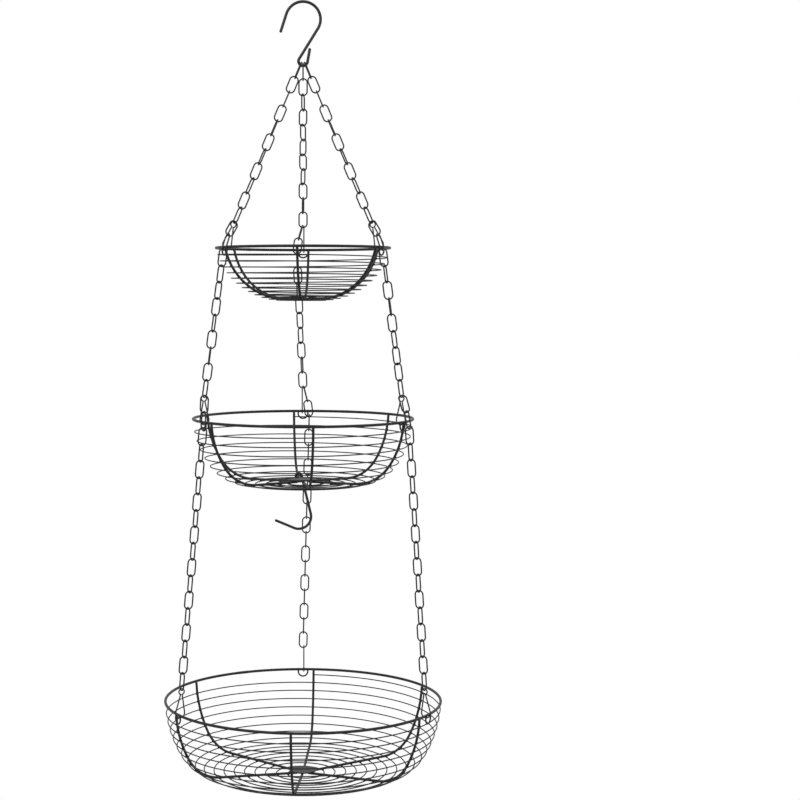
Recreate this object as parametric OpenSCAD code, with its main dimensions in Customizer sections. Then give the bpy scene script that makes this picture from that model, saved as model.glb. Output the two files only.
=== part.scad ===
// Hanging fruit basket: three wire baskets under one another on chains, with a
// hook to hang it by and a spare hook below the middle basket.
// Millimetres. Z is up, X runs left to right, the front faces -Y.
// The origin is the centre of the top hook's large crook.

/* [Top hook] */
// Wire diameter of the top hook
hook_wire = 3.2; // [2:0.1:6]
// Radius of the large crook, to the middle of the wire
crook_radius = 18.8; // [12:0.1:30]
// Radius of the small crook, to the middle of the wire
small_crook_radius = 4.9; // [4:0.1:10]
// Height between the centres of the two crooks
crook_distance = 44.6; // [35:0.1:80]
// Length of the straight tip of the large crook
hook_tip = 19.5; // [5:0.5:30]
// Length of the straight tip of the small crook
small_hook_tip = 13.5; // [4:0.5:25]

/* [Chains] */
// Wire diameter of a link
link_wire = 1.6; // [1:0.1:3]
// Inside length of a link
link_pitch = 17.35; // [10:0.05:30]
// Outside width of a link
link_width = 10.6; // [7:0.1:16]
// Links from the hook to the small basket
upper_links = 11; // [6:1:20]
// Links from the small basket to the middle basket
middle_links = 11; // [6:1:20]
// Links from the middle basket to the large basket
lower_links = 18; // [8:1:30]
// Clear space left where one moving piece hangs in another
play = 0.3; // [0.1:0.05:0.6]

/* [Baskets] */
// Diameter of the rim wire
rim_wire = 3.0; // [2:0.1:5]
// Diameter of the rib wire
rib_wire = 2.8; // [1.5:0.1:4]
// Diameter of the wound wire
spiral_wire = 1.3; // [0.8:0.1:2.5]
// Diameter of the round plate in the bottom
disc_diameter = 30; // [16:1:60]
// Thickness of the round plate
disc_thickness = 1.2; // [0.8:0.1:3]
// Rim radius of the small basket
small_radius = 94; // [70:0.5:120]
// Rim radius of the middle basket
middle_radius = 119.5; // [90:0.5:150]
// Rim radius of the large basket
large_radius = 151; // [110:0.5:200]

/* [Clips and eyelets] */
// Diameter of the clip wire
clip_wire = 1.5; // [1:0.1:2.5]
// Length of a clip, to the middle of the wire
clip_length = 31; // [24:0.5:45]
// Width of a clip, to the middle of the wire
clip_width = 10.4; // [8:0.1:16]
// Diameter of the eyelet wire
eyelet_wire = 1.8; // [1:0.1:3]
// Radius of an eyelet, to the middle of the wire
eyelet_radius = 5.6; // [4:0.1:8]

/* [Spare hook] */
// Wire diameter of the spare hook
spare_wire = 3.0; // [2:0.1:5]
// Radius of its large bend, to the middle of the wire
spare_bend = 13.9; // [8:0.1:20]
// Length of its free end
spare_tip = 21.9; // [8:0.1:40]

/* [Hidden] */

$fn = 48;
black = [0.07, 0.07, 0.075];

// azimuths of the three chains
left = 210;
right = 330;
back = 90;

// side on which the next chain passes the clips of the small and of the middle basket,
// and the side on which the last clips sit
small_left_side = 1;
small_right_side = -1;
small_back_side = 1;
middle_left_side = 1;
middle_right_side = 1;
middle_back_side = -1;
large_left_side = -1;
large_right_side = 1;
large_back_side = 1;

// hair of space left between two links of one chain
link_slack = 0.06;
// how much wider than its wire the ball is that joins two bends
bead = 0.1;
// how much thinner each further length of a rib is, and how far it starts inside the last
step = 0.04;
overlap = 0.3;

// offsets along a shared link end: the clip sits on one side, the next chain on the other
share_offset = 0.95;
share_lift = 0.1;
// radius of a clip's ring, and half the space between its legs at the neck
clip_ring = 3.1;
clip_neck = 0.2;
// where the next chain passes a rim, sideways from the clip
pass_one = 5.0;
pass_two = 7.2;

crook_z = -crook_distance - small_crook_radius;
// spacing of the three first links along the small crook, and how far the outer two sit up
first_spacing = 2.7;
side_lift = 0.2;
first_lift = small_crook_radius - sqrt(pow(small_crook_radius, 2) - pow(first_spacing, 2)) + side_lift;
// from the middle of the hook's wire to where a first link bears on it
first_reach = hook_wire / 2 + play;
// how far each upper chain is turned about its length
side_twist = 30;
back_twist = 90;

function unit(v) = v / norm(v);
function drop(length, dr, dt) = sqrt(length * length - dr * dr - dt * dt);

// radius and height where each chain ends
upper_end_r = 83.5;
upper_end_z = crook_z - drop(upper_links * link_pitch - first_reach, upper_end_r, 0);

function lead_points(r0, z0, r1, r2, side) = [
  [r0, side * share_offset, z0 + share_lift],
  [r1, side * pass_one, z0 + share_lift - drop(link_pitch, r1 - r0, pass_one - share_offset)],
  [r2, side * pass_two, z0 + share_lift - drop(link_pitch, r1 - r0, pass_one - share_offset)
    - drop(link_pitch, r2 - r1, pass_two - pass_one)]
];

middle_pass_r1 = 94.0;
middle_pass_r2 = 100.6;
middle_start_z = lead_points(upper_end_r, upper_end_z, middle_pass_r1, middle_pass_r2, 1)[2][2];
middle_end_r = 120.2;
middle_run = middle_links - 2;
middle_end_z = middle_start_z + play
  - drop(middle_run * link_pitch, middle_end_r - middle_pass_r2, pass_two);

lower_pass_r1 = 123.2;
lower_pass_r2 = 125.4;
lower_start_z = lead_points(middle_end_r, middle_end_z + play, lower_pass_r1, lower_pass_r2, 1)[2][2];
lower_end_r = 148.5;
lower_run = lower_links - 2;
lower_end_z = lower_start_z + play
  - drop(lower_run * link_pitch, lower_end_r - lower_pass_r2, pass_two);

// a clip's top rests on the last link and its bottom carries the rim
clip_top = clip_wire / 2;
rim_seat = 0.02;
function rim_height(end_r, end_z, radius) =
  let (fall = drop(clip_length, radius - end_r, 0))
  end_z + clip_top - fall + ((rim_wire + clip_wire) / 2 + rim_seat) * clip_length / fall;
small_z = rim_height(upper_end_r, upper_end_z + share_lift, small_radius);
middle_z = rim_height(middle_end_r, middle_end_z + share_lift + play, middle_radius);
large_z = rim_height(lower_end_r, lower_end_z + share_lift + play, large_radius);

// radii of the two bends in each basket's side, and how far it stands out from the rim
small_upper_bend = 70;
small_lower_bend = 74.8;
middle_upper_bend = 95;
middle_lower_bend = 50.4;
large_upper_bend = 120;
large_lower_bend = 44.4;
stand_out = 0.3;

// side profile of each basket: radius, lean at the top, upper bend, lean between the
// bends, lower bend, lean of the bottom; then straight to the middle
level_bottom = 90;
large_bottom_lean = 86.4;
small_profile = [small_radius + stand_out, 12, small_upper_bend, 50, small_lower_bend, level_bottom];
middle_profile = [middle_radius + stand_out, 3, middle_upper_bend, 35, middle_lower_bend, level_bottom];
large_profile = [large_radius + stand_out, 2, large_upper_bend, 30, large_lower_bend, large_bottom_lean];

// depth and radius where the bottom starts, and depth at a radius on the bottom
function low(p) = p[2] * (sin(p[3]) - sin(p[1])) + p[4] * (sin(p[5]) - sin(p[3]));
function flat_start(p) = p[0] - p[2] * (cos(p[1]) - cos(p[3])) - p[4] * (cos(p[3]) - cos(p[5]));
function depth_at(p, r) = low(p) + (flat_start(p) - r) * cos(p[5]) / sin(p[5]);
function arc_one(p) = p[2] * (p[3] - p[1]) * PI / 180;
function arc_two(p) = p[4] * (p[5] - p[3]) * PI / 180;
function total(p, r) = arc_one(p) + arc_two(p) + (flat_start(p) - r) / sin(p[5]);
// point on the profile at a length along it, as radius and height
function on_profile(p, s) =
  s < arc_one(p)
    ? let (a = p[1] + s / p[2] * 180 / PI)
      [p[0] - p[2] * (cos(p[1]) - cos(a)), -p[2] * (sin(a) - sin(p[1]))]
    : s < arc_one(p) + arc_two(p)
      ? let (a = p[3] + (s - arc_one(p)) / p[4] * 180 / PI)
        [p[0] - p[2] * (cos(p[1]) - cos(p[3])) - p[4] * (cos(p[3]) - cos(a)),
          -p[2] * (sin(p[3]) - sin(p[1])) - p[4] * (sin(a) - sin(p[3]))]
      : let (along = s - arc_one(p) - arc_two(p))
        [flat_start(p) - along * sin(p[5]), -low(p) - along * cos(p[5])];

// the ribs lie inside the wound wire and touch it
rib_inset = (rib_wire + spiral_wire) / 2;
// where a rib starts from the middle, and how far below the rim's middle it ends
rib_inner = 7;
rib_top = 0.5;
function rib_profile(p) =
  [p[0] - rib_inset * cos(p[1]), p[1], p[2] - rib_inset, p[3], p[4] - rib_inset, p[5]];
function rib_lift(p) = rib_inset * sin(p[1]);

// azimuth of the first rib of each basket
small_first_rib = 86.2;
middle_first_rib = 95.1;
large_first_rib = 85.2;

// wound wire: turns, length of profile above the first turn, spacing at the top, and the
// way it runs down: 1 anticlockwise from above, -1 clockwise
small_turns = 13;
middle_turns = 13;
large_turns = 17;
small_first_turn = 5.5;
middle_first_turn = 6.5;
large_first_turn = 6.5;
small_spacing = 7.2;
middle_spacing = 10.0;
large_spacing = 9.1;
small_way = 1;
middle_way = -1;
large_way = -1;
small_winding = [small_turns, small_first_turn, small_spacing, small_way];
middle_winding = [middle_turns, middle_first_turn, middle_spacing, middle_way];
large_winding = [large_turns, large_first_turn, large_spacing, large_way];
// how far the wound wire runs in under the round plate
wound_under = 1;
rings_per_turn = 24;
tube_sides = 4;

function wound_length(p, w, n) =
  let (all = total(p, disc_diameter / 2 - wound_under) - w[1])
  let (q = (all - w[2] * w[0]) / (w[0] * w[0]))
  w[1] + w[2] * n + q * n * n;
function wound_point(p, w, start, n) =
  let (c = on_profile(p, wound_length(p, w, n)))
  let (a = start + w[3] * 360 * n)
  [c[0] * cos(a), c[0] * sin(a), c[1]];

// an eyelet's middle and its ends below the rim's middle, and how far it stands out from it
eyelet_drop = 3.0;
eyelet_end = 0.6;
eyelet_out = 1.65;

// the turn beside which the spare hook hangs, half way between two turns
spare_turn = 9;
spare_r = on_profile(middle_profile, wound_length(middle_profile, middle_winding, spare_turn + 0.5))[0];
spare_azimuth = middle_first_rib;
spare_crook = rib_wire / 2 + play + spare_wire / 2;
// middle of the spare hook's large bend below the rib, and to one side of it
spare_drop = 45.6;
spare_side = 0.1;

echo(small_z = small_z, middle_z = middle_z, large_z = large_z);
echo(upper_end = [upper_end_r, upper_end_z]);
echo(middle_start = [middle_pass_r2, middle_start_z], middle_end = [middle_end_r, middle_end_z]);
echo(lower_start = [lower_pass_r2, lower_start_z], lower_end = [lower_end_r, lower_end_z]);
echo(spare_r = spare_r);
echo(depths = [for (p = [small_profile, middle_profile, large_profile]) depth_at(p, 0)]);

// least clear space between neighbouring turns of a wound wire, from the points themselves
function turn_gap(p, w) = min([
  for (k = [0 : rings_per_turn * (w[0] - 1)])
    norm(wound_point(p, w, 0, k / rings_per_turn + 1) - wound_point(p, w, 0, k / rings_per_turn))
]) - spiral_wire * 1.13;
echo(least_turn_gap = [
  turn_gap(small_profile, small_winding),
  turn_gap(middle_profile, middle_winding),
  turn_gap(large_profile, large_winding)
]);

// one link hanging between two contact points; width_azimuth turns it about its length
function world(p, azimuth) = [
  p[0] * cos(azimuth) - p[1] * sin(azimuth),
  p[0] * sin(azimuth) + p[1] * cos(azimuth),
  p[2]
];

module link_shape() {
  half = (link_width - link_wire) / 2;
  straight = link_pitch + link_wire + link_slack - 2 * half;
  for (end = [0, 1]) mirror([0, 0, end]) {
    translate([0, 0, straight / 2]) rotate([90, 0, 0])
      rotate_extrude(angle = 180) translate([half, 0]) circle(d = link_wire);
  }
  for (side = [-1, 1]) translate([side * half, 0, -straight / 2])
    cylinder(d = link_wire, h = straight);
}

module link(a, b, width_azimuth) {
  down = unit(b - a);
  lean = acos(-down[2]);
  bearing = atan2(down[1], down[0]);
  translate((a + b) / 2)
    rotate([0, 0, bearing]) rotate([0, -lean, 0]) rotate([0, 0, width_azimuth - bearing])
      link_shape();
}

// a straight run of links between two points; the end links keep their own directions
module run(a, b, count, first_azimuth, twist) {
  for (i = [0 : count - 1])
    link(a + (b - a) * i / count, a + (b - a) * (i + 1) / count,
      first_azimuth + 90 * i + twist * i / max(1, count - 1));
}

module upper_chain(azimuth, shift, twist) {
  // the first link bears on the hook's wire from above, along the chain's own line
  seat = [shift, 0, crook_z + first_lift * abs(shift) / first_spacing];
  end = world([upper_end_r, 0, upper_end_z], azimuth);
  start = seat - unit(end - seat) * first_reach;
  color(black) run(start, end, upper_links, 90, twist);
}

module lead(azimuth, r0, z0, r1, r2, side) {
  points = [for (p = lead_points(r0, z0, r1, r2, side)) world(p, azimuth)];
  color(black) {
    link(points[0], points[1], azimuth);
    link(points[1], points[2], azimuth + 90);
  }
}

module main_chain(azimuth, r0, z0, r1, z1, side, count, twist) {
  start = world([r0, side * pass_two, z0 + play], azimuth);
  end = world([r1, 0, z1], azimuth);
  color(black) run(start, end, count, azimuth, twist);
}

// clip: a small ring, a narrow neck and two legs round a wide bottom, in a radial plane
module clip_shape() {
  ring = clip_ring;
  foot = clip_width / 2;
  neck = clip_wire / 2 + clip_neck;
  open = acos(neck / ring);
  neck_z = -ring - ring * sin(open);
  foot_z = -clip_length + foot;
  // each leg runs straight from the neck to where it meets the bottom bend
  reach = norm([neck, neck_z - foot_z]);
  lean = asin(foot / reach) - atan(neck / (neck_z - foot_z));
  leg = sqrt(reach * reach - foot * foot);
  translate([0, 0, -ring]) rotate([90, 0, 0]) rotate([0, 0, -open])
    rotate_extrude(angle = 180 + 2 * open) translate([ring, 0]) circle(d = clip_wire);
  translate([0, 0, foot_z]) rotate([90, 0, 0]) rotate([0, 0, 180 - lean])
    rotate_extrude(angle = 180 + 2 * lean) translate([foot, 0]) circle(d = clip_wire);
  for (end = [0, 1]) mirror([end, 0, 0]) {
    translate([neck, 0, neck_z]) sphere(d = clip_wire + bead);
    translate([foot * cos(lean), 0, foot_z + foot * sin(lean)]) sphere(d = clip_wire + bead);
    translate([neck, 0, neck_z]) rotate([0, 180 - lean, 0]) cylinder(d = clip_wire, h = leg);
  }
}

module clip(azimuth, end_r, end_z, radius, rim_z, side) {
  lift = share_lift + clip_top;
  reach = radius - end_r;
  lean = asin(reach / clip_length);
  color(black)
    rotate([0, 0, azimuth]) translate([end_r, -side * share_offset, end_z + lift])
      rotate([0, -lean, 0]) clip_shape();
}

module rim(radius, z) {
  color(black) translate([0, 0, z]) rotate_extrude() translate([radius, 0]) circle(d = rim_wire);
}

module rib(p) {
  lift = rib_lift(p);
  start = asin(sin(p[1]) + (lift + rib_top) / p[2]);
  back_up = overlap / p[4] * 180 / PI;
  translate([p[0] - p[2] * cos(p[1]), 0, lift + p[2] * sin(p[1])]) rotate([90, 0, 0])
    rotate([0, 0, -p[3]]) rotate_extrude(angle = p[3] - start) translate([p[2], 0]) circle(d = rib_wire);
  translate([p[0] - p[2] * (cos(p[1]) - cos(p[3])) - p[4] * cos(p[3]), 0,
      lift - p[2] * (sin(p[3]) - sin(p[1])) + p[4] * sin(p[3])]) rotate([90, 0, 0])
    rotate([0, 0, -p[5]]) rotate_extrude(angle = p[5] - p[3] + back_up)
      translate([p[4], 0]) circle(d = rib_wire - step);
  translate([flat_start(p), 0, lift - low(p)]) rotate([0, 180 + p[5], 0]) translate([0, 0, -overlap])
    cylinder(d = rib_wire - 2 * step, h = overlap + (flat_start(p) - rib_inner) / sin(p[5]));
}

module ribs(profile, z, first) {
  color(black)
    for (i = [0 : 5]) translate([0, 0, z]) rotate([0, 0, first + 60 * i]) rib(rib_profile(profile));
}

module disc(profile, z) {
  // it lies on the ribs at its edge
  lift = (rib_inset + rib_wire / 2) / sin(profile[5]);
  color(black) translate([0, 0, z - depth_at(profile, disc_diameter / 2) + lift])
    cylinder(d = disc_diameter, h = disc_thickness);
}

module eyelets(radius, z) {
  half_open = asin((eyelet_drop - eyelet_end) / eyelet_radius);
  color(black)
    for (a = [left, right, back]) rotate([0, 0, a])
      translate([radius + eyelet_out, 0, z - eyelet_drop]) rotate([0, 0, 90]) rotate([90, 0, 0])
        rotate([0, 0, 180 - half_open])
          rotate_extrude(angle = 180 + 2 * half_open) translate([eyelet_radius, 0]) circle(d = eyelet_wire);
}

// wound wire as one closed tube with straight ends
module spiral(profile, winding, z, start) {
  count = rings_per_turn * winding[0];
  wire = spiral_wire * 1.13;
  body = [for (k = [0 : count]) wound_point(profile, winding, start, k / rings_per_turn)];
  first_step = unit(body[0] - body[1]) * wire;
  last_step = unit(body[count] - body[count - 1]) * wire;
  centres = concat([body[0] + first_step], body, [body[count] + last_step]);
  rings = len(centres);
  points = [
    for (k = [0 : rings - 1])
      let (c = centres[k])
      let (bearing = atan2(c[1], c[0]))
      for (j = [0 : tube_sides - 1])
        let (a = 45 + winding[3] * 360 * j / tube_sides)
        [c[0] + wire / 2 * cos(a) * cos(bearing), c[1] + wire / 2 * cos(a) * sin(bearing),
          c[2] + wire / 2 * sin(a) + z]
  ];
  sides = [
    for (k = [0 : rings - 2]) for (j = [0 : tube_sides - 1])
      let (m = (j + 1) % tube_sides)
      each [
        [k * tube_sides + j, (k + 1) * tube_sides + j, (k + 1) * tube_sides + m],
        [k * tube_sides + j, (k + 1) * tube_sides + m, k * tube_sides + m]
      ]
  ];
  caps = [
    [for (j = [0 : tube_sides - 1]) j],
    [for (j = [tube_sides - 1 : -1 : 0]) (rings - 1) * tube_sides + j]
  ];
  color(black) polyhedron(points = points, faces = concat(sides, caps), convexity = 10);
}

module top_hook() {
  lean = asin((crook_radius + small_crook_radius) / crook_distance);
  straight = sqrt(pow(crook_distance, 2) - pow(crook_radius + small_crook_radius, 2));
  large_end = 162;
  small_end = -10;
  color(black) {
    rotate([90, 0, 0]) rotate([0, 0, -lean])
      rotate_extrude(angle = large_end + lean) translate([crook_radius, 0]) circle(d = hook_wire);
    translate([crook_radius * cos(large_end), 0, crook_radius * sin(large_end)])
      rotate([0, -large_end, 0]) hook_end(hook_tip);
    translate([crook_radius * cos(lean), 0, -crook_radius * sin(lean)])
      rotate([0, 180 + lean, 0]) {
        cylinder(d = hook_wire, h = straight);
        sphere(d = hook_wire + bead);
        translate([0, 0, straight]) sphere(d = hook_wire + bead);
      }
    translate([0, 0, -crook_distance]) rotate([90, 0, 0]) rotate([0, 0, 180 - lean])
      rotate_extrude(angle = 180 + lean + small_end) translate([small_crook_radius, 0]) circle(d = hook_wire);
    translate([small_crook_radius * cos(small_end), 0, -crook_distance + small_crook_radius * sin(small_end)])
      rotate([0, -small_end, 0]) hook_end(small_hook_tip);
  }
}

// straight end of a hook with a rounded tip
module hook_end(length) {
  cylinder(d = hook_wire, h = length);
  sphere(d = hook_wire + bead);
  translate([0, 0, length]) sphere(d = hook_wire + bead);
}

module spare_hook() {
  tilt = 13.7;
  bend_centre = [spare_side, -spare_drop];
  shank_top = [spare_crook * cos(tilt), spare_crook * sin(tilt)];
  shank_end = bend_centre + spare_bend * [cos(tilt), sin(tilt)];
  shank = norm(shank_end - shank_top);
  sweep = 126.8;
  crook_turn = 200;
  rib_z = middle_z - low(middle_profile) + rib_inset;
  color(black)
    rotate([0, 0, spare_azimuth - 90]) translate([0, spare_r, rib_z]) {
      rotate([90, 0, 0]) rotate([0, 0, tilt])
        rotate_extrude(angle = crook_turn) translate([spare_crook, 0]) circle(d = spare_wire);
      translate([spare_crook * cos(tilt + crook_turn), 0, spare_crook * sin(tilt + crook_turn)])
        sphere(d = spare_wire + bead);
      translate([shank_top[0], 0, shank_top[1]]) rotate([0, 180 - tilt, 0]) {
        cylinder(d = spare_wire, h = shank);
        sphere(d = spare_wire + bead);
        translate([0, 0, shank]) sphere(d = spare_wire + bead);
      }
      translate([bend_centre[0], 0, bend_centre[1]]) rotate([90, 0, 0])
        rotate([0, 0, tilt - sweep]) rotate_extrude(angle = sweep)
          translate([spare_bend, 0]) circle(d = spare_wire);
      translate([bend_centre[0] + spare_bend * cos(tilt - sweep), 0,
          bend_centre[1] + spare_bend * sin(tilt - sweep)])
        rotate([0, 180 - tilt + sweep, 0]) {
          cylinder(d = spare_wire, h = spare_tip);
          sphere(d = spare_wire + bead);
          translate([0, 0, spare_tip]) sphere(d = spare_wire + bead);
        }
    }
}

module upper_chain_left() { upper_chain(left, -first_spacing, side_twist); }
module upper_chain_right() { upper_chain(right, first_spacing, -side_twist); }
module upper_chain_back() { upper_chain(back, 0, back_twist); }

module small_rim() { rim(small_radius, small_z); }
module small_ribs() { ribs(small_profile, small_z, small_first_rib); }
module small_spiral() { spiral(small_profile, small_winding, small_z, small_first_rib); }
module small_disc() { disc(small_profile, small_z); }
module small_eyelets() { eyelets(small_radius, small_z); }
module small_clip(a, side) { clip(a, upper_end_r, upper_end_z, small_radius, small_z, side); }
module small_clip_left() { small_clip(left, small_left_side); }
module small_clip_right() { small_clip(right, small_right_side); }
module small_clip_back() { small_clip(back, small_back_side); }

module middle_lead(a, side) { lead(a, upper_end_r, upper_end_z, middle_pass_r1, middle_pass_r2, side); }
module middle_lead_left() { middle_lead(left, small_left_side); }
module middle_lead_right() { middle_lead(right, small_right_side); }
module middle_lead_back() { middle_lead(back, small_back_side); }

module middle_chain(a, side) {
  main_chain(a, middle_pass_r2, middle_start_z, middle_end_r, middle_end_z, side, middle_run, 90);
}
module middle_chain_left() { middle_chain(left, small_left_side); }
module middle_chain_right() { middle_chain(right, small_right_side); }
module middle_chain_back() { middle_chain(back, small_back_side); }

module middle_rim() { rim(middle_radius, middle_z); }
module middle_ribs() { ribs(middle_profile, middle_z, middle_first_rib); }
module middle_spiral() { spiral(middle_profile, middle_winding, middle_z, middle_first_rib); }
module middle_disc() { disc(middle_profile, middle_z); }
module middle_eyelets() { eyelets(middle_radius, middle_z); }
module middle_clip(a, side) { clip(a, middle_end_r, middle_end_z + play, middle_radius, middle_z, side); }
module middle_clip_left() { middle_clip(left, middle_left_side); }
module middle_clip_right() { middle_clip(right, middle_right_side); }
module middle_clip_back() { middle_clip(back, middle_back_side); }

module lower_lead(a, side) {
  lead(a, middle_end_r, middle_end_z + play, lower_pass_r1, lower_pass_r2, side);
}
module lower_lead_left() { lower_lead(left, middle_left_side); }
module lower_lead_right() { lower_lead(right, middle_right_side); }
module lower_lead_back() { lower_lead(back, middle_back_side); }

module lower_chain(a, side) {
  main_chain(a, lower_pass_r2, lower_start_z, lower_end_r, lower_end_z, side, lower_run, 0);
}
module lower_chain_left() { lower_chain(left, middle_left_side); }
module lower_chain_right() { lower_chain(right, middle_right_side); }
module lower_chain_back() { lower_chain(back, middle_back_side); }

module large_rim() { rim(large_radius, large_z); }
module large_ribs() { ribs(large_profile, large_z, large_first_rib); }
module large_spiral() { spiral(large_profile, large_winding, large_z, large_first_rib); }
module large_disc() { disc(large_profile, large_z); }
module large_eyelets() { eyelets(large_radius, large_z); }
module large_clip(a, side) { clip(a, lower_end_r, lower_end_z + play, large_radius, large_z, side); }
module large_clip_left() { large_clip(left, large_left_side); }
module large_clip_right() { large_clip(right, large_right_side); }
module large_clip_back() { large_clip(back, large_back_side); }

top_hook();
upper_chain_left();
upper_chain_right();
upper_chain_back();
small_rim();
small_ribs();
small_spiral();
small_disc();
small_eyelets();
small_clip_left();
small_clip_right();
small_clip_back();
middle_lead_left();
middle_lead_right();
middle_lead_back();
middle_chain_left();
middle_chain_right();
middle_chain_back();
middle_rim();
middle_ribs();
middle_spiral();
middle_disc();
middle_eyelets();
middle_clip_left();
middle_clip_right();
middle_clip_back();
lower_lead_left();
lower_lead_right();
lower_lead_back();
lower_chain_left();
lower_chain_right();
lower_chain_back();
large_rim();
large_ribs();
large_spiral();
large_disc();
large_eyelets();
large_clip_left();
large_clip_right();
large_clip_back();
spare_hook();
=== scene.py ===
import math
import bpy
from mathutils import Matrix, Vector


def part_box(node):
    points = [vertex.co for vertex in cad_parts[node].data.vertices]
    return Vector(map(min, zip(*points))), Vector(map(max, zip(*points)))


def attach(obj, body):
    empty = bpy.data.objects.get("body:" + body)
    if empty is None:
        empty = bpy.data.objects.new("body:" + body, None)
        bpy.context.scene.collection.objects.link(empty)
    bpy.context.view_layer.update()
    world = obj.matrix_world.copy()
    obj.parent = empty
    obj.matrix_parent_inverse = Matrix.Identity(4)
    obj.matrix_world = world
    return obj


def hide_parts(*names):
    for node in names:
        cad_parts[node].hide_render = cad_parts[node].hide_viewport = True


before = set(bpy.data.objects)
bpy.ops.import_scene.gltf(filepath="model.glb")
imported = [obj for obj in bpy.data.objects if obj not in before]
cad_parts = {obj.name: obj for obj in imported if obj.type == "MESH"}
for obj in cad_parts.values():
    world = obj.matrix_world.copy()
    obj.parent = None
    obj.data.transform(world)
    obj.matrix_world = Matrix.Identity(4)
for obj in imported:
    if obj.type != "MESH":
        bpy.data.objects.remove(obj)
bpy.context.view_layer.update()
mm = 0.001
print("frame loaded,", len(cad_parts), "nodes")

camera = {
    "place": (0.0, -1.8935, -0.2917),
    "pitch": 3.57,  # degrees below the horizon
    "lens": 78.4,
    "sideShift": 0.1212,  # the basket hangs left of the middle of the frame
}

bpy.ops.object.camera_add(location=camera["place"], rotation=(math.radians(90 - camera["pitch"]), 0, 0))
viewCamera = bpy.context.object
viewCamera.name = "viewCamera"
viewCamera.data.lens = camera["lens"]
viewCamera.data.sensor_width = 36
viewCamera.data.shift_x = camera["sideShift"]
viewCamera.data.clip_start = 0.05
viewCamera.data.clip_end = 60
bpy.context.scene.camera = viewCamera
bpy.context.scene.view_settings.view_transform = "Standard"
print("camera set")


# small helpers

def clearSelection():
    bpy.ops.object.select_all(action="DESELECT")


def pick(piece):
    clearSelection()
    piece.select_set(True)
    bpy.context.view_layer.objects.active = piece


def applyPlace(piece):
    pick(piece)
    bpy.ops.object.transform_apply(location=True, rotation=True, scale=True)
    return piece


def joinPieces(pieces, name):
    clearSelection()
    for piece in pieces:
        piece.select_set(True)
    bpy.context.view_layer.objects.active = pieces[0]
    if len(pieces) > 1:
        bpy.ops.object.join()
    joined = bpy.context.object
    joined.name = name
    joined.data.name = name
    return joined


def copyTo(piece, matrix):
    pick(piece)
    bpy.ops.object.duplicate()
    copy = bpy.context.object
    copy.matrix_world = matrix
    return applyPlace(copy)


def smoothPiece(piece, angle=40):
    pick(piece)
    bpy.ops.object.shade_smooth_by_angle(angle=math.radians(angle))
    return piece


def roundEnds(points, wire):
    # each end of the path closes in over the last half wire
    half = wire / 2
    knots = [(point, 1.0) for point in points]
    for atStart in (True, False):
        end, inner = (points[0], points[1]) if atStart else (points[-1], points[-2])
        inward = (inner - end).normalized()
        tip = [
            (end + inward * half * (1 - k), math.sqrt(max(0.0, 1 - k * k))) for k in (0.0, 0.5, 0.8, 0.95)]
        tip.append((end, 0.05))
        if atStart:
            knots = tip[::-1] + knots[1:]
        else:
            knots = knots[:-1] + tip
    return knots


def drawWire(name, points, wire, sides=12, closed=False):
    # points in millimetres, wire its diameter
    clearSelection()
    bpy.ops.curve.primitive_nurbs_path_add(radius=1, location=(0, 0, 0))
    path = bpy.context.object
    path.data.splines.clear()
    knots = [(point, 1.0) for point in points] if closed else roundEnds(points, wire)
    spline = path.data.splines.new("POLY")
    spline.points.add(len(knots) - 1)
    for knot, (spot, radius) in zip(spline.points, knots):
        knot.co = (spot.x * mm, spot.y * mm, spot.z * mm, 1)
        knot.radius = radius
    spline.use_cyclic_u = closed
    path.data.dimensions = "3D"
    path.data.twist_mode = "MINIMUM"
    path.data.bevel_depth = wire / 2 * mm
    path.data.bevel_resolution = (sides - 4) // 2
    path.data.use_fill_caps = not closed
    bpy.ops.object.convert(target="MESH")
    drawn = bpy.context.object
    drawn.name = name
    drawn.data.name = name
    return smoothPiece(drawn)


# finishes

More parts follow.
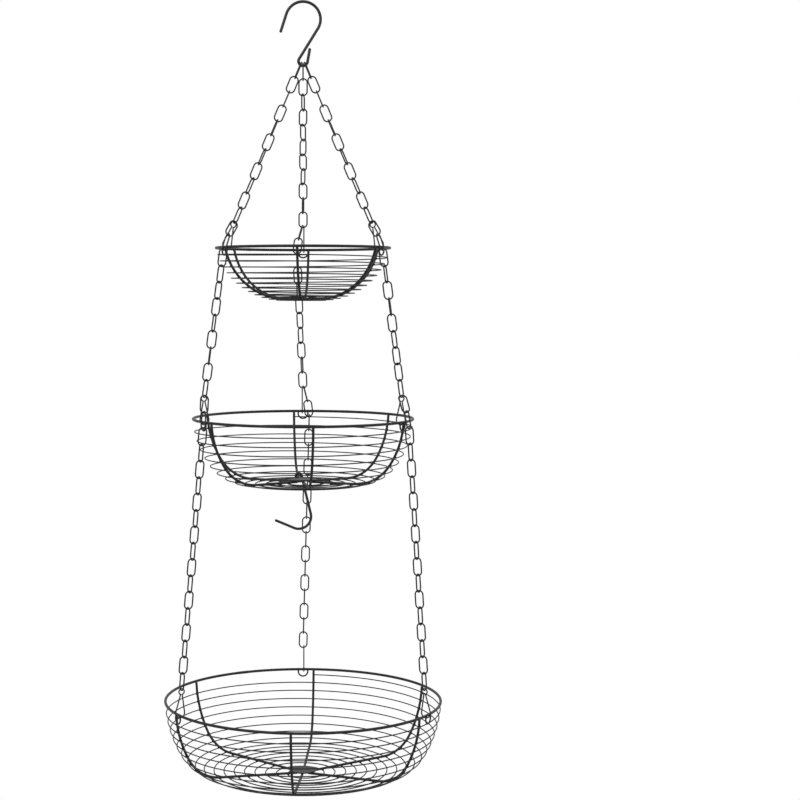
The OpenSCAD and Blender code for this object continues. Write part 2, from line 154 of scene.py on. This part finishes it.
def buildPaintSkin():
    # mottle, rubbed spots, dust with a painted highlight on what faces up, and a fine height, shared by
    # every finish
    group = bpy.data.node_groups.new("paintSkin", "ShaderNodeTree")
    side = group.interface
    for label, start in (
            ("Mottle Scale", 60.0), ("Grain Scale", 900.0), ("Rub Amount", 0.3), ("Dust And Top Highlight Amount", 0.2)):
        socket = side.new_socket(name=label, in_out="INPUT", socket_type="NodeSocketFloat")
        socket.default_value = start
    for label in ("Mottle", "Rubbed", "Dust And Top Highlight", "Height"):
        side.new_socket(name=label, in_out="OUTPUT", socket_type="NodeSocketFloat")
    nodes, links = group.nodes, group.links
    start = nodes.new("NodeGroupInput")
    out = nodes.new("NodeGroupOutput")
    place = nodes.new("ShaderNodeTexCoord")

    mottle = nodes.new("ShaderNodeTexNoise")
    mottle.inputs["Detail"].default_value = 3
    links.new(place.outputs["Object"], mottle.inputs["Vector"])
    links.new(start.outputs["Mottle Scale"], mottle.inputs["Scale"])
    links.new(mottle.outputs["Fac"], out.inputs["Mottle"])

    grain = nodes.new("ShaderNodeTexNoise")
    grain.inputs["Detail"].default_value = 2
    links.new(place.outputs["Object"], grain.inputs["Vector"])
    links.new(start.outputs["Grain Scale"], grain.inputs["Scale"])

    # rubbed spots: only the peaks of a middling noise
    rub = nodes.new("ShaderNodeTexNoise")
    rub.inputs["Scale"].default_value = 260
    rub.inputs["Detail"].default_value = 5
    rub.inputs["Roughness"].default_value = 0.65
    links.new(place.outputs["Object"], rub.inputs["Vector"])
    peaks = nodes.new("ShaderNodeMapRange")
    peaks.inputs["From Min"].default_value = 0.58
    peaks.inputs["From Max"].default_value = 0.74
    links.new(rub.outputs["Fac"], peaks.inputs["Value"])
    rubbed = nodes.new("ShaderNodeMath")
    rubbed.operation = "MULTIPLY"
    links.new(peaks.outputs["Result"], rubbed.inputs[0])
    links.new(start.outputs["Rub Amount"], rubbed.inputs[1])
    links.new(rubbed.outputs["Value"], out.inputs["Rubbed"])

    # dust and a painted highlight lie on what faces up: the top is painted lighter, partly as dust and
    # partly for the light falling on it
    facing = nodes.new("ShaderNodeNewGeometry")
    parts = nodes.new("ShaderNodeSeparateXYZ")
    links.new(facing.outputs["Normal"], parts.inputs["Vector"])
    upward = nodes.new("ShaderNodeMapRange")
    upward.inputs["From Min"].default_value = 0.35
    upward.inputs["From Max"].default_value = 1.0
    links.new(parts.outputs["Z"], upward.inputs["Value"])
    dustAndHighlightSpread = nodes.new("ShaderNodeMath")
    dustAndHighlightSpread.operation = "MULTIPLY"
    links.new(upward.outputs["Result"], dustAndHighlightSpread.inputs[0])
    links.new(mottle.outputs["Fac"], dustAndHighlightSpread.inputs[1])
    dustAndHighlight = nodes.new("ShaderNodeMath")
    dustAndHighlight.operation = "MULTIPLY"
    links.new(dustAndHighlightSpread.outputs["Value"], dustAndHighlight.inputs[0])
    links.new(start.outputs["Dust And Top Highlight Amount"], dustAndHighlight.inputs[1])
    links.new(dustAndHighlight.outputs["Value"], out.inputs["Dust And Top Highlight"])

    # height: fine grain, with the rubbed spots added
    height = nodes.new("ShaderNodeMath")
    height.operation = "ADD"
    links.new(grain.outputs["Fac"], height.inputs[0])
    links.new(peaks.outputs["Result"], height.inputs[1])
    links.new(height.outputs["Value"], out.inputs["Height"])
    return group


paintSkin = buildPaintSkin()
# a light grey painted on upward faces: dust, and a painted highlight where light falls on the top
dustAndHighlightColor = (0.16, 0.155, 0.145)


def makeFinish(name, look):
    finish = bpy.data.materials.new(name)
    finish.use_nodes = True
    nodes, links = finish.node_tree.nodes, finish.node_tree.links
    shader = nodes["Principled BSDF"]
    shader.inputs["Specular IOR Level"].default_value = look["specular"]
    shader.inputs["Coat Roughness"].default_value = look["coatRoughness"]
    skin = nodes.new("ShaderNodeGroup")
    skin.node_tree = paintSkin
    for label in ("Mottle Scale", "Grain Scale", "Rub Amount", "Dust And Top Highlight Amount"):
        skin.inputs[label].default_value = look[label]

    deep = nodes.new("ShaderNodeMix")
    deep.data_type = "RGBA"
    deep.inputs["A"].default_value = (*look["dark"], 1)
    deep.inputs["B"].default_value = (*look["light"], 1)
    links.new(skin.outputs["Mottle"], deep.inputs["Factor"])
    worn = nodes.new("ShaderNodeMix")
    worn.data_type = "RGBA"
    worn.inputs["B"].default_value = (*look["bare"], 1)
    links.new(skin.outputs["Rubbed"], worn.inputs["Factor"])
    links.new(deep.outputs["Result"], worn.inputs["A"])
    # the upward faces are painted lighter with this grey: dust, and partly a painted highlight
    dustedAndHighlighted = nodes.new("ShaderNodeMix")
    dustedAndHighlighted.data_type = "RGBA"
    dustedAndHighlighted.inputs["B"].default_value = (*dustAndHighlightColor, 1)
    links.new(skin.outputs["Dust And Top Highlight"], dustedAndHighlighted.inputs["Factor"])
    links.new(worn.outputs["Result"], dustedAndHighlighted.inputs["A"])
    links.new(dustedAndHighlighted.outputs["Result"], shader.inputs["Base Color"])

    gloss = nodes.new("ShaderNodeMapRange")
    gloss.inputs["To Min"].default_value = look["glossy"]
    gloss.inputs["To Max"].default_value = look["dull"]
    links.new(skin.outputs["Mottle"], gloss.inputs["Value"])
    duller = nodes.new("ShaderNodeMath")
    duller.operation = "ADD"
    duller.use_clamp = True
    links.new(gloss.outputs["Result"], duller.inputs[0])
    links.new(skin.outputs["Dust And Top Highlight"], duller.inputs[1])
    links.new(duller.outputs["Value"], shader.inputs["Roughness"])
    metal = nodes.new("ShaderNodeMath")
    metal.operation = "MULTIPLY"
    metal.inputs[1].default_value = look["metalShow"]
    links.new(skin.outputs["Rubbed"], metal.inputs[0])
    links.new(metal.outputs["Value"], shader.inputs["Metallic"])
    coat = nodes.new("ShaderNodeMapRange")
    coat.inputs["To Min"].default_value = look["coat"]
    coat.inputs["To Max"].default_value = look["coat"] * 0.4
    links.new(skin.outputs["Mottle"], coat.inputs["Value"])
    links.new(coat.outputs["Result"], shader.inputs["Coat Weight"])

    bump = nodes.new("ShaderNodeBump")
    bump.inputs["Strength"].default_value = look["bump"]
    bump.inputs["Distance"].default_value = 0.0001
    links.new(skin.outputs["Height"], bump.inputs["Height"])
    links.new(bump.outputs["Normal"], shader.inputs["Normal"])
    return finish


basketFinish = makeFinish("basketFinish", {
    "dark": (0.003, 0.003, 0.0033), "light": (0.007, 0.007, 0.0075), "bare": (0.05, 0.05, 0.053),
    "glossy": 0.4, "dull": 0.6, "specular": 0.22, "coat": 0.04, "coatRoughness": 0.22,
    "metalShow": 0.6, "bump": 0.35,
    "Mottle Scale": 45, "Grain Scale": 1400, "Rub Amount": 0.25, "Dust And Top Highlight Amount": 0.14,
})
chainFinish = makeFinish("chainFinish", {
    "dark": (0.003, 0.003, 0.0033), "light": (0.008, 0.008, 0.0085), "bare": (0.08, 0.08, 0.084),
    "glossy": 0.3, "dull": 0.5, "specular": 0.25, "coat": 0.06, "coatRoughness": 0.18,
    "metalShow": 0.85, "bump": 0.25,
    "Mottle Scale": 120, "Grain Scale": 1800, "Rub Amount": 0.35, "Dust And Top Highlight Amount": 0.08,
})
clipFinish = makeFinish("clipFinish", {
    "dark": (0.004, 0.004, 0.004), "light": (0.011, 0.011, 0.0115), "bare": (0.12, 0.12, 0.12),
    "glossy": 0.26, "dull": 0.42, "specular": 0.28, "coat": 0.05, "coatRoughness": 0.15,
    "metalShow": 0.9, "bump": 0.2,
    "Mottle Scale": 150, "Grain Scale": 2200, "Rub Amount": 0.4, "Dust And Top Highlight Amount": 0.06,
})
hookFinish = makeFinish("hookFinish", {
    "dark": (0.003, 0.003, 0.0033), "light": (0.008, 0.008, 0.0085), "bare": (0.09, 0.09, 0.094),
    "glossy": 0.28, "dull": 0.46, "specular": 0.28, "coat": 0.08, "coatRoughness": 0.16,
    "metalShow": 0.85, "bump": 0.3,
    "Mottle Scale": 70, "Grain Scale": 1500, "Rub Amount": 0.3, "Dust And Top Highlight Amount": 0.08,
})
weldFinish = makeFinish("weldFinish", {
    "dark": (0.003, 0.003, 0.003), "light": (0.008, 0.008, 0.0085), "bare": (0.05, 0.05, 0.05),
    "glossy": 0.42, "dull": 0.65, "specular": 0.22, "coat": 0.03, "coatRoughness": 0.3,
    "metalShow": 0.5, "bump": 0.7,
    "Mottle Scale": 400, "Grain Scale": 2600, "Rub Amount": 0.2, "Dust And Top Highlight Amount": 0.12,
})


def paint(piece, finish):
    piece.data.materials.clear()
    piece.data.materials.append(finish)
    return piece


def place(piece, body, finish, slot, nodes=()):
    paint(piece, finish)
    if nodes:
        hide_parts(*nodes)
    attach(piece, body)
    return piece


print("finishes ready")


# baskets: the same side profile as the solids, in millimetres; the wound wire runs down
# anticlockwise from above where way is 1, and clockwise where it is -1

smallBasket = {
    "name": "small", "body": "small_tier", "radius": 94, "topLean": 12, "upperBend": 70,
    "midLean": 50, "lowerBend": 74.8, "turns": 13, "firstTurn": 5.5, "topSpacing": 7.2, "firstRib": 86.2,
    "bottomLean": 90, "way": 1, "rimWeld": 130,
}
middleBasket = {
    "name": "middle", "body": "middle_tier", "radius": 119.5, "topLean": 3, "upperBend": 95,
    "midLean": 35, "lowerBend": 50.4, "turns": 13, "firstTurn": 6.5, "topSpacing": 10.0, "firstRib": 95.1,
    "bottomLean": 90, "way": -1, "rimWeld": 66,
}
largeBasket = {
    "name": "large", "body": "large_tier", "radius": 151, "topLean": 2, "upperBend": 120,
    "midLean": 30, "lowerBend": 44.4, "turns": 17, "firstTurn": 6.5, "topSpacing": 9.1, "firstRib": 85.2,
    "bottomLean": 86.4, "way": -1, "rimWeld": 118,
}
wires = {"rim": 3.0, "rib": 2.8, "wound": 1.3}
plateWidth = 30.0
ribInset = (wires["rib"] + wires["wound"]) / 2
standOut = 0.3  # how far the side stands out from the rim's middle
woundUnder = 1  # how far the wound wire runs in under the plate
ribStart = 0.6  # where a rib starts, along the side from its top
ribInner = 6.5  # radius at which a rib ends in the middle


def sinD(angle):
    return math.sin(math.radians(angle))


def cosD(angle):
    return math.cos(math.radians(angle))


def rimHeight(basket):
    low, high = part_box(basket["name"] + "_rim")
    return (low.z + high.z) / 2 / mm


def profilePoint(basket, length, inset=0.0):
    # (radius, height below the rim, lean) at a length along the side, moved inwards by inset
    top, mid, bottom = basket["topLean"], basket["midLean"], basket["bottomLean"]
    upper, lower = basket["upperBend"], basket["lowerBend"]
    edge = basket["radius"] + standOut
    firstLength = math.radians(mid - top) * upper
    secondLength = math.radians(bottom - mid) * lower
    if length < firstLength:
        lean = top + math.degrees(length / upper)
        radius = edge - upper * (cosD(top) - cosD(lean))
        height = -upper * (sinD(lean) - sinD(top))
    elif length < firstLength + secondLength:
        lean = mid + math.degrees((length - firstLength) / lower)
        radius = edge - upper * (cosD(top) - cosD(mid)) - lower * (cosD(mid) - cosD(lean))
        height = -upper * (sinD(mid) - sinD(top)) - lower * (sinD(lean) - sinD(mid))
    else:
        lean = bottom
        beyond = length - firstLength - secondLength
        flat = edge - upper * (cosD(top) - cosD(mid)) - lower * (cosD(mid) - cosD(bottom))
        radius = flat - beyond * sinD(bottom)
        low = -upper * (sinD(mid) - sinD(top)) - lower * (sinD(bottom) - sinD(mid))
        height = low - beyond * cosD(bottom)
    return radius - inset * cosD(lean), height + inset * sinD(lean), lean


def profileLength(basket, radius):
    # length of the side from its top to a radius on the bottom
    top, mid, bottom = basket["topLean"], basket["midLean"], basket["bottomLean"]
    upper, lower = basket["upperBend"], basket["lowerBend"]
    edge = basket["radius"] + standOut
    flat = edge - upper * (cosD(top) - cosD(mid)) - lower * (cosD(mid) - cosD(bottom))
    bends = math.radians(mid - top) * upper + math.radians(bottom - mid) * lower
    return bends + (flat - radius) / sinD(bottom)


def woundLength(basket, turn):
    whole = profileLength(basket, plateWidth / 2 - woundUnder) - basket["firstTurn"]
    turns = basket["turns"]
    growth = (whole - basket["topSpacing"] * turns) / turns ** 2
    return basket["firstTurn"] + basket["topSpacing"] * turn + growth * turn ** 2


def around(radius, angle, height):
    return Vector((radius * cosD(angle), radius * sinD(angle), height))


def makeSpiral(basket):
    stepsPerTurn = 72
    top = rimHeight(basket)
    points = []
    for step in range(basket["turns"] * stepsPerTurn + 1):
        turn = step / stepsPerTurn
        radius, height = profilePoint(basket, woundLength(basket, turn))[:2]
        points.append(around(radius, basket["firstRib"] + basket["way"] * 360 * turn, top + height))
    name = basket["name"]
    spiral = drawWire(name + "Spiral", points, wires["wound"], sides=10)
    return place(spiral, basket["body"], basketFinish, "basket_metal", [name + "_spiral"])


def makeRibs(basket):
    top = rimHeight(basket)
    whole = profileLength(basket, ribInner)
    count = 48
    points = []
    for step in range(count + 1):
        length = ribStart + (whole - ribStart) * step / count
        radius, height = profilePoint(basket, length, ribInset)[:2]
        points.append(around(radius, basket["firstRib"], top + height))
    name = basket["name"]
    first = drawWire(name + "Rib", points, wires["rib"], sides=14)
    ribs = [first]
    for turn in range(1, 6):
        ribs.append(copyTo(first, Matrix.Rotation(math.radians(60 * turn), 4, "Z")))
    ribs = joinPieces(ribs, name + "Ribs")
    return place(ribs, basket["body"], basketFinish, "basket_metal", [name + "_ribs"])


def makeRim(basket):
    name = basket["name"]
    ringCount = 288
    clearSelection()
    bpy.ops.mesh.primitive_torus_add(
        major_radius=basket["radius"] * mm, minor_radius=wires["rim"] / 2 * mm,
        major_segments=ringCount, minor_segments=16, location=(0, 0, rimHeight(basket) * mm))
    hoop = applyPlace(bpy.context.object)
    # the butt weld where the hoop closes: a few rings swell a little, least in the middle and at the ends
    swell = {0: 1.05, 1: 1.09, 2: 1.02, -1: 1.09, -2: 1.02}
    ringStep = 360 / ringCount
    for vertex in hoop.data.vertices:
        angle = math.degrees(math.atan2(vertex.co.y, vertex.co.x))
        ring = round(((angle - basket["rimWeld"] + 180) % 360 - 180) / ringStep)
        if ring in swell:
            centre = around(basket["radius"], angle, rimHeight(basket)) * mm
            vertex.co = centre + (vertex.co - centre) * swell[ring]
    hoop.name = name + "Rim"
    hoop.data.name = hoop.name
    smoothPiece(hoop, 60)
    return place(hoop, basket["body"], basketFinish, "basket_metal", [name + "_rim"])


def makePlate(basket):
    name = basket["name"]
    low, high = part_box(name + "_disc")
    clearSelection()
    bpy.ops.mesh.primitive_cylinder_add(
        vertices=72, radius=plateWidth / 2 * mm, depth=high.z - low.z,
        location=(0, 0, (low.z + high.z) / 2))
    plate = applyPlace(bpy.context.object)
    bpy.ops.object.mode_set(mode="EDIT")
    bpy.ops.mesh.select_mode(type="FACE")
    bpy.ops.mesh.select_all(action="DESELECT")
    bpy.ops.object.mode_set(mode="OBJECT")
    for face in plate.data.polygons:
        face.select = face.normal.z > 0.5
    bpy.ops.object.mode_set(mode="EDIT")
    # pressed a little hollow, with a raised edge
    for width, drop in ((1.6, 0.0), (1.2, -0.25), (5.0, -0.15), (4.0, -0.05)):
        bpy.ops.mesh.inset(thickness=width * mm, depth=0)
        bpy.ops.transform.translate(value=(0, 0, drop * mm))
    bpy.ops.object.mode_set(mode="OBJECT")
    rounding = plate.modifiers.new("rounding", "BEVEL")
    rounding.width = 0.35 * mm
    rounding.segments = 3
    rounding.limit_method = "ANGLE"
    rounding.angle_limit = math.radians(50)
    pick(plate)
    bpy.ops.object.modifier_apply(modifier="rounding")
    plate.name = name + "Plate"
    plate.data.name = plate.name
    smoothPiece(plate, 30)
    return place(plate, basket["body"], basketFinish, "basket_metal", [name + "_disc"])


def makeNugget():
    clearSelection()
    bpy.ops.mesh.primitive_ico_sphere_add(subdivisions=2, radius=1 * mm, location=(0, 0, 0))
    nugget = bpy.context.object
    # melted metal: a little lopsided
    for vertex in nugget.data.vertices:
        along = 0.09 * math.sin(vertex.co.x * 2300 + vertex.co.y * 1700)
        vertex.co = vertex.co * (1 + along + 0.06 * math.sin(vertex.co.z * 2900))
    smoothPiece(nugget, 80)
    return nugget


def makeWelds(basket, nugget):
    # one nugget at each crossing of the wound wire and a rib, and one at each rib's top;
    # each spot is radius, height, lean, angle and the nugget's size
    top = rimHeight(basket)
    crossingSize, rimWeldSize = (1.15, 0.75, 1.45), (1.5, 1.0, 1.2)
    rimWeldIn, rimWeldDown = 1.3, 1.0
    spots = []
    for turn in range(basket["turns"] * 6 + 1):
        radius, height, lean = profilePoint(basket, woundLength(basket, turn / 6), wires["wound"] / 2)
        angle = basket["firstRib"] + basket["way"] * 60 * turn
        spots.append((radius, height, lean, angle, crossingSize))
    for rib in range(6):
        angle = basket["firstRib"] + 60 * rib
        spots.append((basket["radius"] - rimWeldIn, -rimWeldDown, basket["topLean"], angle, rimWeldSize))
    copies = []
    for number, (radius, height, lean, angle, size) in enumerate(spots):
        turned = Matrix.Rotation(math.radians(angle), 4, "Z") @ Matrix.Rotation(math.radians(lean), 4, "Y")
        spin = Matrix.Rotation(number * 1.3, 4, "X")
        scale = Matrix.Diagonal((size[1], size[0], size[2], 1))
        spot = Matrix.Translation(around(radius, angle, top + height) * mm)
        copies.append(copyTo(nugget, spot @ turned @ scale @ spin))
    welds = joinPieces(copies, basket["name"] + "Welds")
    return place(welds, basket["body"], weldFinish, "basket_metal")


nugget = makeNugget()
for basket in (smallBasket, middleBasket, largeBasket):
    makeSpiral(basket)
    makeRibs(basket)
    makeRim(basket)
    makePlate(basket)
    makeWelds(basket, nugget)
    print(basket["name"], "basket made")
bpy.data.objects.remove(nugget)


# finishes on the solids that stay

for name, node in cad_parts.items():
    if "hook" in name:
        paint(node, hookFinish)
    elif "clip" in name:
        paint(node, clipFinish)
    elif "chain" in name or "lead" in name:
        paint(node, chainFinish)
    else:
        paint(node, basketFinish)
print("solids painted")


# stage and light

stage = {
    "floorHeight": -1.6, "floorRadius": 2.4, "floorColor": (0.86, 0.86, 0.86),
    "backdrop": (1.0, 1.0, 1.0), "roomLight": 0.75, "keyPower": 42, "fillPower": 14, "rimPower": 10,
}

clearSelection()
bpy.ops.mesh.primitive_circle_add(
    vertices=96, radius=stage["floorRadius"], fill_type="NGON", location=(0, 0, stage["floorHeight"]))
floor = applyPlace(bpy.context.object)
floor.name = "floor"
floorFinish = bpy.data.materials.new("floorFinish")
floorFinish.use_nodes = True
floorShader = floorFinish.node_tree.nodes["Principled BSDF"]
floorShader.inputs["Base Color"].default_value = (*stage["floorColor"], 1)
floorShader.inputs["Roughness"].default_value = 0.85
paint(floor, floorFinish)

room = bpy.data.worlds.new("room")
bpy.context.scene.world = room
room.use_nodes = True
roomNodes, roomLinks = room.node_tree.nodes, room.node_tree.links
glow = roomNodes["Background"]
glow.inputs["Color"].default_value = (1, 1, 1, 1)
glow.inputs["Strength"].default_value = stage["roomLight"]
backdrop = roomNodes.new("ShaderNodeBackground")
backdrop.inputs["Color"].default_value = (*stage["backdrop"], 1)
backdrop.inputs["Strength"].default_value = 1.0
rays = roomNodes.new("ShaderNodeLightPath")
seen = roomNodes.new("ShaderNodeMath")
seen.operation = "MAXIMUM"
blend = roomNodes.new("ShaderNodeMixShader")
roomLinks.new(rays.outputs["Is Camera Ray"], seen.inputs[0])
roomLinks.new(rays.outputs["Is Glossy Ray"], seen.inputs[1])
roomLinks.new(seen.outputs["Value"], blend.inputs["Fac"])
roomLinks.new(glow.outputs["Background"], blend.inputs[1])
roomLinks.new(backdrop.outputs["Background"], blend.inputs[2])
roomLinks.new(blend.outputs["Shader"], roomNodes["World Output"].inputs["Surface"])

for name, spot, power, size in (
        ("keyLight", (-1.6, -1.9, 1.3), stage["keyPower"], 1.4),
        ("fillLight", (2.0, -1.4, 0.2), stage["fillPower"], 1.8),
        ("rimLight", (0.6, 2.0, 1.0), stage["rimPower"], 1.2)):
    bpy.ops.object.light_add(type="AREA", location=spot)
    lamp = bpy.context.object
    lamp.name = name
    lamp.data.energy = power
    lamp.data.shape = "DISK"
    lamp.data.size = size
    toBasket = Vector((0, 0, -0.42)) - Vector(spot)
    lamp.rotation_euler = toBasket.to_track_quat("-Z", "Y").to_euler()
print("stage and light set")
